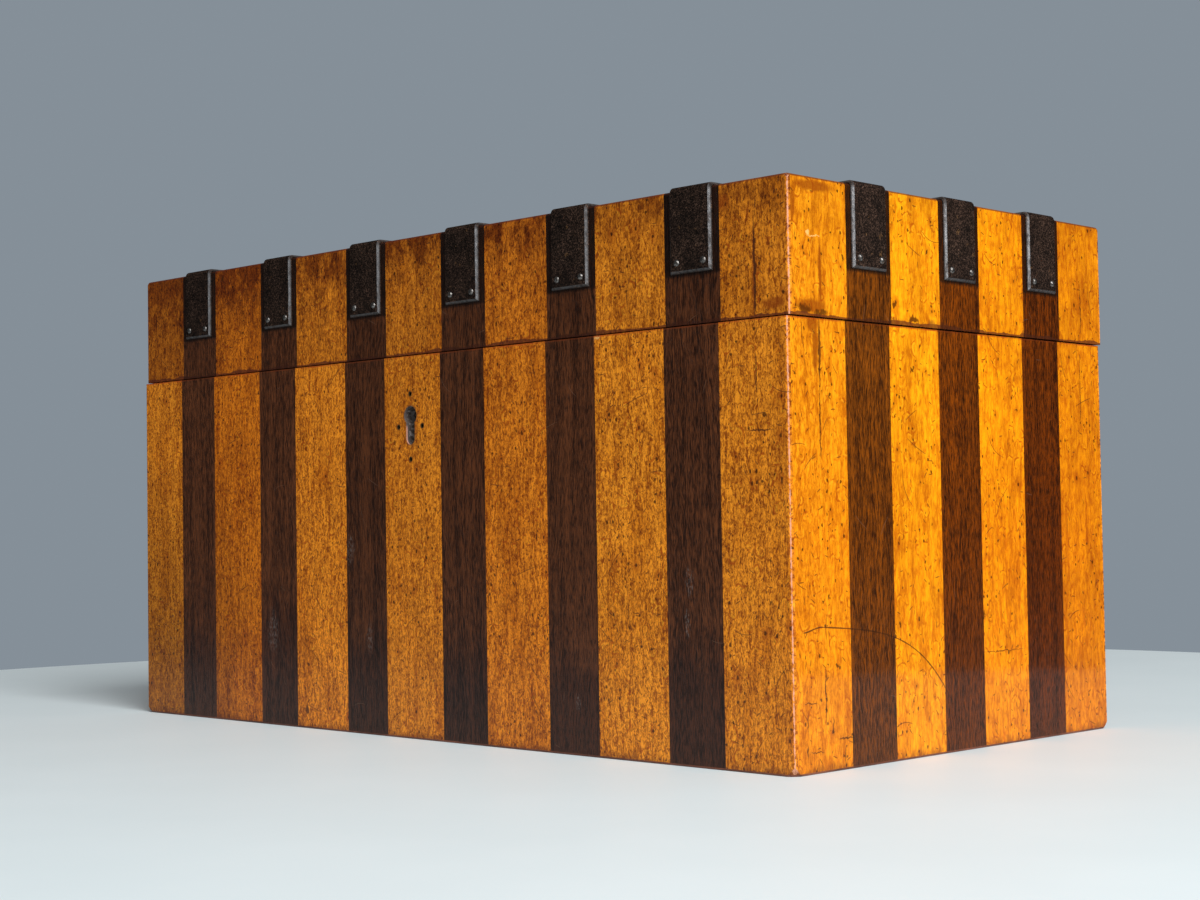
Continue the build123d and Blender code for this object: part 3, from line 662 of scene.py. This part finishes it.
def all_marks(net, flat, marks, ragged=2.0):
    """The strongest of a list of marks at each point, with outlines that wander by the ragged length."""
    if not marks:
        return 0.0
    wander = net.noise(flat, (1.8, 3.4, 1.0), 4.0, 0.65, output="Color")
    wander = net.vectors("SUBTRACT", wander, (0.5, 0.5, 0.5))
    wander = net.vectors("MULTIPLY", wander, (ragged, ragged, 0.0))
    place = net.vectors("ADD", flat, wander)
    found = []
    for across, along, half_across, half_along in marks:
        spread = {"Middle": (across, along, 0.0), "Reach": (half_across, half_along, very_deep)}
        found.append(net.placed(mark, {"Place": place, **spread})["Mark"])
    return net.most(*found)


def toned(net, colour, number, tones):
    """The colour times the tone of its strip, from left to right, by its number from the middle."""
    first = -(len(tones) // 2)
    share = net.maths("DIVIDE", net.minus(number, first - 0.5), len(tones))
    ramp = net.tree.nodes.new("ShaderNodeValToRGB")
    ramp.color_ramp.interpolation = "CONSTANT"
    ramp.color_ramp.elements.remove(ramp.color_ramp.elements[1])
    for place in range(1, len(tones)):
        ramp.color_ramp.elements.new(place / len(tones))
    for element, tone in zip(ramp.color_ramp.elements, tones):
        element.color = (*tone, 1.0)
    net.feed(ramp.inputs[0], share)
    return net.mixed(1.0, colour, ramp.outputs[0], "MULTIPLY")


def is_long(side):
    """Whether a side runs along the box, which the two ends don't."""
    return sides[side].across == "x"


def strip_material(wood, side):
    """A strip's material. The polish on the long sides is rubbed, that on the ends less so."""
    coat, coat_roughness = (0.22, 0.2) if is_long(side) else (0.28, 0.07)
    material, net, shader, place = new_material(f"{wood}_{side}", coat, coat_roughness)
    shader.inputs["Specular IOR Level"].default_value = 0.15
    if not is_long(side):
        shader.inputs["Specular Tint"].default_value = (1.0, 0.55, 0.15, 1.0)
    return material, net, shader, place


def painted_shade_low_down(net, place, colour, tint):
    """The colour of an end, with painted shade that darkens and warms it towards the foot."""
    low_down = net.fade(net.parts(place)[2], 118.0, 50.0)
    return net.mixed(low_down, colour, tint, "MULTIPLY")


# The lid's smoky colour, which also paints its shade to the left
birch_smoke_and_shade = (0.30, 0.21, 0.07, 1)
# Painted shade towards the foot of the birch ends
birch_painted_shade_low_down = (0.93, 0.85, 0.6, 1)
begun_crack = (0.24, 0.042, 0.001, 1)
crack_dirt = (0.060, 0.015, 0.003, 1)
dark_stain = (0.070, 0.016, 0.001, 1)
pale_chip = (0.90, 0.50, 0.16, 1)
birch_soil = (0.105, 0.020, 0.006, 1)
birch_rim = (0.45, 0.075, 0.008, 1)
# Bare wood on the rubbed corners, with a painted highlight
birch_bare_and_highlight = (0.66, 0.30, 0.18, 1)
key_edge = (0.16, 0.06, 0.02, 1)
key_wall = (0.10, 0.08, 0.075, 1)
key_wall_worn = (0.50, 0.25, 0.18, 1)
# Painted shade inside the pin holes
pin_hole_shade = (0.030, 0.022, 0.010, 1)


def round_the_keyhole(net, place, flat, colour):
    """The colour with the keyhole's edge, its wall, rubbed low down outside, and the pin holes' painted
    shade.
    """
    keyhole = net.placed(round_the_key, {"Place": place})
    outermost = net.fade(net.parts(place)[1], 0.7 - half_width, 0.3 - half_width)
    in_slot = net.fade(net.parts(place)[2], key_z - 2.8, key_z - 4.0)
    wall = net.mixed(net.times(outermost, in_slot), key_wall, key_wall_worn)
    colour = net.covered(colour, (keyhole["Edge"], 0.5, key_edge), (keyhole["Wall"], 1.0, wall))
    # The pin holes are dark discs of painted shade
    for across, along in pin_holes:
        away = net.vectors("DISTANCE", flat, (across, along, 0.0))
        colour = net.covered(colour, (net.fade(away, 1.15, 0.6), 1.0, pin_hole_shade))
    return colour


def birch(side):
    """One side's birch: figure, tone, smoky lid, painted shade, then its marks, wear and painted highlight.
    """
    material, net, shader, place = strip_material("birch", side)
    strip, flat = on_the_strip(net, place, side, True)
    lively = sides[side].lively
    if side == "right":
        # Its strip by the front corner is livelier than the rest
        lively = net.fade(net.parts(flat)[0], -half_width, -half_width + 34.0, 0.42, lively)
    figure = net.placed(birch_figure, {"Place": strip["Place"], "Lively": lively})
    smoke = {"Smoke": sides[side].smoke, "Smoke to the left": sides[side].smoke_to_the_left}
    use = net.placed(years_of_use, {"Place": place, **smoke})
    colour = net.scaled(figure["Colour"], use["Shade"])
    # The smoky lid, with painted shade towards its left on the front and back
    colour = net.mixed(use["Smoke"], colour, birch_smoke_and_shade, "MULTIPLY")
    if side in birch_tones:
        colour = toned(net, colour, strip["Number"], birch_tones[side])
    else:
        colour = net.scaled(colour, net.between(strip["Tone"], 0.90, 1.08))
    # Painted shade towards the foot of the ends
    if not is_long(side):
        colour = painted_shade_low_down(net, place, colour, birch_painted_shade_low_down)
    short_nick = {"Spacing": 4.2, "Length": 1.1, "Width": 0.42, "Share": 0.5}
    long_nick = {"Spacing": 15.0, "Length": 6.0, "Width": 0.40, "Share": 0.5}
    short = net.placed(nicks, {"Place": flat, **short_nick})["Nicks"]
    long = net.placed(nicks, {"Place": flat, **long_nick})["Nicks"]
    cracked = all_marks(net, flat, cracks[side])
    cut_in = net.most(net.times(short, 0.8), net.times(long, 0.7), cracked)
    if side == "right":
        cut_in = net.most(cut_in, net.placed(curved_scratch, {"Place": flat})["Scratch"])
    colour = net.covered(
        colour,
        (all_marks(net, flat, soft_lines.get(side)), 0.75, begun_crack),
        (cut_in, 0.85, crack_dirt),
        (all_marks(net, flat, stains.get(side), 5.0), 0.85, dark_stain),
        (all_marks(net, flat, chips.get(side), 3.0), 0.8, pale_chip),
        (use["Soil"], 0.85, birch_soil),
        (use["Rim"], 1.0, birch_rim),
        # The rubbed corners, bare and with a painted highlight
        (use["Rubbed"], 1.0, birch_bare_and_highlight),
    )
    if side == "front":
        colour = round_the_keyhole(net, place, flat, colour)
    roughness = net.between(net.most(cut_in, use["Soil"], use["Rubbed"]), 0.40, 0.62)
    height = net.minus(figure["Height"], net.times(cut_in, 2.0))
    surface(net, shader, colour, roughness, height, depth=0.035)
    return material


for side in sides:
    finish(birch(side), *strip_nodes(side, "birch"))


# ---- Rosewood strips ------------------------------------------------------------------------------
# Strips of dark, straight-grained rosewood between the birch ones, with long open pores and a few
# dusty marks in the polish. Blacker on the long sides and redder on the ends.

red_dark = (0.026, 0.0044, 0.0003, 1)
red_pale = (0.235, 0.0515, 0.0015, 1)
black_dark = (0.020, 0.0052, 0.0015, 1)
black_pale = (0.145, 0.044, 0.0142, 1)
rosewood_pore = (0.010, 0.003, 0.001, 1)


def make_rosewood_figure():
    """Straight wavy bands, lines and flecks along a strip, from red (0) to black (1)."""
    net, given = new_effect(
        "rosewood figure", {"Place": any_place, "Tone": 0.5, "Black": 1.0}, "Colour", "Height"
    )
    at_rest = given["Place"]
    place = swayed(net, at_rest, (30.0, 70.0, 30.0), (6.0, 0.0, 0.0), 1.0)
    place = swayed(net, place, (2.6, 6.0, 30.0), (1.2, 0.0, 0.0), 1.0, at_rest)
    bands = net.noise(place, (2.6, 150.0, 8.0), 3.0, 0.6)
    lines = net.noise(place, (0.42, 9.0, 3.0), 3.0, 0.65)
    flecks = net.noise(place, (0.32, 3.2, 2.0), 3.0, 0.7)
    pores = net.fade(net.noise(place, (0.24, 2.6, 2.0), 1.0), 0.58, 0.68)
    shade = net.fade(net.blend((bands, 0.20), (lines, 0.28), (flecks, 0.52)), 0.41, 0.60)
    red = net.mixed(shade, red_dark, red_pale)
    black = net.mixed(shade, black_dark, black_pale)
    colour = net.mixed(given["Black"], red, black)
    colour = net.covered(colour, (pores, 0.75, rosewood_pore))
    colour = net.scaled(colour, net.between(given["Tone"], 0.88, 1.10))
    return net.complete(Colour=colour, Height=net.minus(shade, pores))


rosewood_figure = make_rosewood_figure()

# The tones of its strips and its dusty marks, listed like those of the birch
rosewood_tones = {"right": [(1.18, 1.34, 1.6), (1.00, 0.94, 0.3), (1.00, 0.84, 0.1)]}
blooms = {
    "front": [
        (-32.1, 59.2, 3.0, 6.0), (-74.7, 32.0, 3.5, 9.0), (-22.2, 31.2, 2.0, 6.0), (116.6, 50.5, 1.8, 5.0),
        (115.6, 39.0, 1.2, 5.0), (72.6, 15.4, 1.5, 3.0),
    ],
}

# Painted shade towards the foot of the rosewood ends
rosewood_painted_shade_low_down = (0.78, 0.73, 0.6, 1)
rosewood_smoke = (0.60, 0.50, 0.45, 1)
# Darker and bluer towards the foot
rosewood_foot_tint = (0.44, 0.40, 0.50, 1)
rosewood_nick = (0.17, 0.085, 0.05, 1)
rosewood_scratch = (0.012, 0.004, 0.002, 1)
dusty_bloom = (0.30, 0.26, 0.24, 1)
# Painted shadow of the straps, and dirt
strap_shadow_and_dirt = (0.006, 0.003, 0.002, 1)
rosewood_soil = (0.050, 0.012, 0.005, 1)
rosewood_rim = (0.20, 0.035, 0.006, 1)
# Bare rosewood where rubbed, with a painted highlight
rosewood_bare_and_highlight = (0.36, 0.17, 0.10, 1)


def rosewood(side):
    """One side's rosewood: figure, smoky lid, darker foot, painted shade, then its marks, wear and
    highlight.
    """
    material, net, shader, place = strip_material("rosewood", side)
    strip, flat = on_the_strip(net, place, side, False)
    black = 1.0 if is_long(side) else 0.0
    own = {"Place": strip["Place"], "Tone": strip["Tone"]}
    figure = net.placed(rosewood_figure, {**own, "Black": black})
    use = net.placed(years_of_use, {"Place": place, "Smoke": 0.3})
    colour = net.scaled(figure["Colour"], use["Shade"])
    # Painted shade towards the foot of the ends
    if not is_long(side):
        colour = painted_shade_low_down(net, place, colour, rosewood_painted_shade_low_down)
    if side in rosewood_tones:
        colour = toned(net, colour, strip["Number"], rosewood_tones[side])
    colour = net.mixed(use["Smoke"], colour, rosewood_smoke, "MULTIPLY")
    height = net.parts(place)[2]
    # Darker and bluer towards the foot, from a height that varies by strip and in patches
    patchy = net.noise(place, (9.0, 9.0, 30.0), 3.0, 0.6)
    darker_foot_top = net.blend((strip["Tone"], 16.0), (patchy, 50.0))
    darker_foot = net.fade(net.minus(height, darker_foot_top), 8.0, -8.0, 0.0, 0.8 if is_long(side) else 0.3)
    colour = net.mixed(darker_foot, colour, rosewood_foot_tint, "MULTIPLY")
    long_nick = {"Spacing": 14.0, "Length": 4.0, "Width": 0.2, "Share": 0.3}
    long = net.placed(nicks, {"Place": flat, **long_nick})["Nicks"]
    colour = net.covered(colour, (long, 0.6, rosewood_nick))
    if side == "right":
        scratched = net.placed(curved_scratch, {"Place": flat})["Scratch"]
        colour = net.covered(colour, (scratched, 0.6, rosewood_scratch))
    specks = net.fade(net.noise(place, (0.5, 0.5, 1.3), 2.0, 0.6), 0.48, 0.62)
    bloom = net.times(all_marks(net, flat, blooms.get(side)), specks)
    # Above the straps' foot, beside them and on the lid's top: painted shadow of the straps, and dirt
    strap_shadow_and_dirt_share = net.fade(height, strap_foot - 1.3, strap_foot - 0.2, 0.0, 0.8)
    colour = net.covered(
        colour,
        (bloom, 0.28, dusty_bloom),
        (strap_shadow_and_dirt_share, 1.0, strap_shadow_and_dirt),
        (use["Soil"], 0.7, rosewood_soil),
        (use["Rim"], 0.6, rosewood_rim),
        # The rubbed corners, bare and with a painted highlight
        (use["Rubbed"], 0.5, rosewood_bare_and_highlight),
    )
    roughness = net.fade(figure["Height"], -0.5, 0.8, 0.5, 0.38)
    surface(net, shader, colour, roughness, net.minus(figure["Height"], long), depth=0.05)
    return material


for side in sides:
    finish(rosewood(side), *strip_nodes(side, "rosewood"))


# ---- Straps ---------------------------------------------------------------------------------------
# Flat iron straps bent over the lid's top edges, forged with bevelled borders, blackened, and pitted
# with age. Only their bevels are burnished, by hands and cloths, and painted with a highlight.

low, high = (1000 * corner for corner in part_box("lid_front_birch_strips"))
far_side = 1000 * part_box("lid_back_birch_strips")[1].y
lid_middle = ((low.x + high.x) / 2, (low.y + far_side) / 2, 0.0)
lid_half = ((high.x - low.x) / 2, (far_side - low.y) / 2, lid_top)


def make_bevel_wear_and_highlight():
    """Bevels burnished and painted with a highlight, on both borders and ends of a strap; dull flats and
    bends.
    """
    net, given = new_effect(
        "bevel wear and highlight", {"Place": any_place, "Across": (1.0, 0.0, 0.0), "Inward": (0.0, 1.0, 0.0)}, "Worn"
    )
    normal = net.node("TexCoord", {}, "Normal")
    sideways = net.vectors("DOT_PRODUCT", normal, given["Across"])
    inward = net.vectors("DOT_PRODUCT", normal, given["Inward"])
    down = net.times(net.parts(normal)[2], -1.0)
    tilt = net.most(net.maths("ABSOLUTE", sideways), down, inward)
    bevel = net.times(net.fade(tilt, 0.35, 0.6), net.fade(tilt, 0.95, 0.82))
    # Less on the downward bevels: painted shade on their underside
    under = net.fade(down, 0.3, 0.5, 1.0, 0.45)
    # Brightest on the bevels' outer parts, away from the lid: a painted highlight
    off_middle = net.vectors("ABSOLUTE", net.vectors("SUBTRACT", given["Place"], lid_middle))
    outside = net.vectors("SUBTRACT", off_middle, lid_half)
    proud = net.fade(net.most(*net.parts(outside)), 0.30, 0.62, 0.15, 1.0)
    height = net.parts(given["Place"])[2]
    over_the_edge = net.fade(height, lid_top - 1.6, lid_top - 0.2, 1.0, 0.25)
    rubbed = net.fade(net.noise(given["Place"], (0.9, 0.9, 2.2), 3.0, 0.65), 0.3, 0.62, 0.25, 1.0)
    return net.complete(Worn=net.times(bevel, under, over_the_edge, proud, rubbed))


bevel_wear_and_highlight = make_bevel_wear_and_highlight()

iron_pit = (0.007, 0.0035, 0.0022, 1)
iron_skin = (0.098, 0.055, 0.037, 1)
iron_rust = (0.17, 0.085, 0.03, 1)
# Burnished iron, which also paints the bevels' highlight
iron_bright_and_highlight = (0.19, 0.19, 0.195, 1)


def strap_iron(side, across, inward):
    """Blackened iron for the straps of one side, with its directions across them and into the lid."""
    material, net, shader, place = new_material("strap_iron_" + side)
    skin = net.noise(place, 0.42, 3.0, 0.6, 0.9)
    lumps = net.noise(place, 1.6, 2.0, 0.6)
    patches = net.noise(place, 5.0, 3.0, 0.6)
    rust = net.fade(net.noise(place, 2.6, 2.0), 0.66, 0.74)
    rust = net.times(rust, net.fade(skin, 0.4, 0.6))
    # The bevels, burnished and with a painted highlight
    worn_and_highlit = net.placed(bevel_wear_and_highlight, {"Place": place, "Across": across, "Inward": inward})["Worn"]
    colour = net.mixed(net.fade(skin, 0.46, 0.72), iron_pit, iron_skin)
    colour = net.scaled(colour, net.fade(patches, 0.3, 0.7, 0.55, 1.25))
    colour = net.covered(colour, (rust, 0.6, iron_rust), (worn_and_highlit, 1.0, iron_bright_and_highlight))
    net.feed(shader.inputs["Metallic"], net.between(worn_and_highlit, 0.05, 0.6))
    shader.inputs["Specular IOR Level"].default_value = 0.12
    roughness = net.between(worn_and_highlit, 0.58, 0.40)
    surface(net, shader, colour, roughness, net.plus(net.times(skin, 0.6), lumps), depth=0.15)
    return material


strap_sides = {
    "front": ((1.0, 0.0, 0.0), (0.0, 1.0, 0.0)),
    "back": ((1.0, 0.0, 0.0), (0.0, -1.0, 0.0)),
    "left": ((0.0, 1.0, 0.0), (1.0, 0.0, 0.0)),
    "right": ((0.0, 1.0, 0.0), (-1.0, 0.0, 0.0)),
}
for side, (across, inward) in strap_sides.items():
    straps = [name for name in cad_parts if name.startswith(side + "_strap_")]
    finish(strap_iron(side, across, inward), *straps)


# ---- Nails ----------------------------------------------------------------------------------------
# Small round-headed iron nails, four to a strap, driven through it into the strips and the lid's wood.
# Their domes stand proud of the straps and are rubbed bright.

def nail_iron():
    """Bright iron with small dark marks."""
    material, net, shader, place = new_material("nail_iron")
    marks = net.noise(place, 0.5, 3.0, 0.6)
    colour = net.mixed(net.fade(marks, 0.35, 0.65), (0.05, 0.043, 0.038, 1), (0.20, 0.19, 0.18, 1))
    shader.inputs["Metallic"].default_value = 0.85
    surface(net, shader, colour, net.fade(marks, 0.3, 0.7, 0.42, 0.28), marks, depth=0.04)
    return material


finish(nail_iron(), "strap_nails")


# ---- Screws, lock and hinges ----------------------------------------------------------------------
# An iron box lock with a steel spring, let into the front board, with its link plate on the lid, and two
# brass butt hinges let in flush at the back. Iron wood screws hold them all, and all are dull with age.

def old_metal(name, dark, bright, metallic, roughness):
    """Tarnished metal, freckled and finely brushed, with its roughness where it is brightest."""
    material, net, shader, place = new_material(name)
    tarnish = net.noise(place, 7.0, 5.0, 0.7, 0.2)
    freckles = net.noise(place, 0.8, 3.0, 0.65)
    brushed = net.noise(place, (0.25, 6.0, 6.0), 2.0)
    shade = net.fade(net.blend((tarnish, 0.55), (freckles, 0.45)), 0.30, 0.66)
    colour = net.mixed(shade, dark, bright)
    shader.inputs["Metallic"].default_value = metallic
    roughness = net.fade(tarnish, 0.3, 0.7, roughness + 0.15, roughness)
    surface(net, shader, colour, roughness, brushed, depth=0.01)
    return material


screw_iron = old_metal("screw_iron", (0.045, 0.038, 0.034, 1), (0.16, 0.15, 0.14, 1), 0.8, 0.38)
finish(screw_iron, "case_screws", "lid_screws")
brass = old_metal("brass", (0.23, 0.140, 0.050, 1), (0.55, 0.37, 0.135, 1), 0.9, 0.32)
finish(brass, *[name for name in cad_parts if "hinge" in name])
lock_iron = old_metal("lock_iron", (0.07, 0.055, 0.06, 1), (0.26, 0.23, 0.23, 1), 0.85, 0.35)
finish(lock_iron, "lock_plate", "lock_tray", "lock_bolt", "link_plate")
spring_steel = old_metal("spring_steel", (0.05, 0.06, 0.08, 1), (0.22, 0.24, 0.28, 1), 0.9, 0.3)
finish(spring_steel, "lock_spring")


# ---- Table top ------------------------------------------------------------------------------------
# A plain round table top with a rounded rim, painted in a pale blue grey, which isn't part of the box.
# The box only stands on it.

table_radius = 0.41
table_thickness = 0.03
table_rim = 0.006


def table_top():
    """A round slab with its top at the box's underside and a rounded rim."""
    mesh = bmesh.new()
    bmesh.ops.create_cone(
        mesh, cap_ends=True, segments=192, radius1=table_radius, radius2=table_radius, depth=table_thickness,
        matrix=Matrix.Translation((0, 0, -table_thickness / 2)),
    )
    rims = [e for e in mesh.edges if len({round(v.co.z, 6) for v in e.verts}) == 1]
    bmesh.ops.bevel(mesh, geom=rims, offset=table_rim, segments=6, affect="EDGES", profile=0.5)
    data = bpy.data.meshes.new("table_top")
    mesh.to_mesh(data)
    mesh.free()
    top = bpy.data.objects.new("table_top", data)
    bpy.context.scene.collection.objects.link(top)
    return top


def table_paint():
    """Pale paint, faintly mottled."""
    material, net, shader, place = new_material("table_paint")
    mottle = net.noise(place, 60.0, 3.0)
    paint = net.mixed(mottle, (0.69, 0.775, 0.795, 1), (0.75, 0.83, 0.85, 1))
    net.feed(shader.inputs["Base Color"], paint)
    shader.inputs["Roughness"].default_value = 0.55
    return material


table = table_top()
table.data.materials.append(table_paint())


# ---- Room and light -------------------------------------------------------------------------------
# A plain grey room, and soft light from two windows to the right of the box, one low and close and one
# high and far. Polish and metal show a darker room than the one seen behind the box.

world = bpy.data.worlds.new("studio")
world.use_nodes = True
bpy.context.scene.world = world
net = Net(world.node_tree)
path = world.node_tree.nodes.new("ShaderNodeLightPath").outputs
wall = (0.235, 0.275, 0.315, 1)
ambient = (0.26, 0.27, 0.28, 1)
dark_room = (0.045, 0.05, 0.055, 1)
around = net.mixed(path["Is Glossy Ray"], ambient, dark_room)
seen = net.most(path["Is Camera Ray"], path["Is Transmission Ray"])
net.feed(world.node_tree.nodes["Background"].inputs["Color"], net.mixed(seen, around, wall))


def soft_light(name, place, aim, size, watts):
    """A square area light at a place, turned towards a point."""
    data = bpy.data.lights.new(name, "AREA")
    data.shape = "SQUARE"
    data.size = size
    data.energy = watts
    light = bpy.data.objects.new(name, data)
    light.location = place
    light.rotation_euler = (Vector(aim) - Vector(place)).to_track_quat("-Z", "Y").to_euler()
    light.visible_camera = False
    bpy.context.scene.collection.objects.link(light)


soft_light("low_window", place=(1.05, -0.33, 0.42), aim=(0.05, -0.02, 0.08), size=0.55, watts=7.0)
soft_light("high_window", place=(2.0, -0.85, 2.4), aim=(0.0, -0.05, 0.05), size=1.5, watts=78.0)


# ---- Camera ---------------------------------------------------------------------------------------
# It stands near the box's front right corner, just above the table top, and looks slightly up at it.
# Places are metres, turns are degrees and the lens is millimetres.

camera_place = (0.48295, -0.48107, 0.06694)
camera_azimuth = 44.74
camera_tilt = 2.078
camera_roll = -0.862
camera_lens = 59.79
camera_data = bpy.data.cameras.new("camera")
camera_data.lens = camera_lens
camera_data.sensor_width = 36.0
camera_data.clip_start = 0.01
camera = bpy.data.objects.new("camera", camera_data)
camera.matrix_world = (
    Matrix.Translation(camera_place)
    @ Matrix.Rotation(radians(camera_azimuth), 4, "Z")
    @ Matrix.Rotation(radians(90 + camera_tilt), 4, "X")
    @ Matrix.Rotation(radians(camera_roll), 4, "Z")
)
bpy.context.scene.collection.objects.link(camera)
bpy.context.scene.camera = camera
bpy.context.scene.view_settings.view_transform = "Standard"
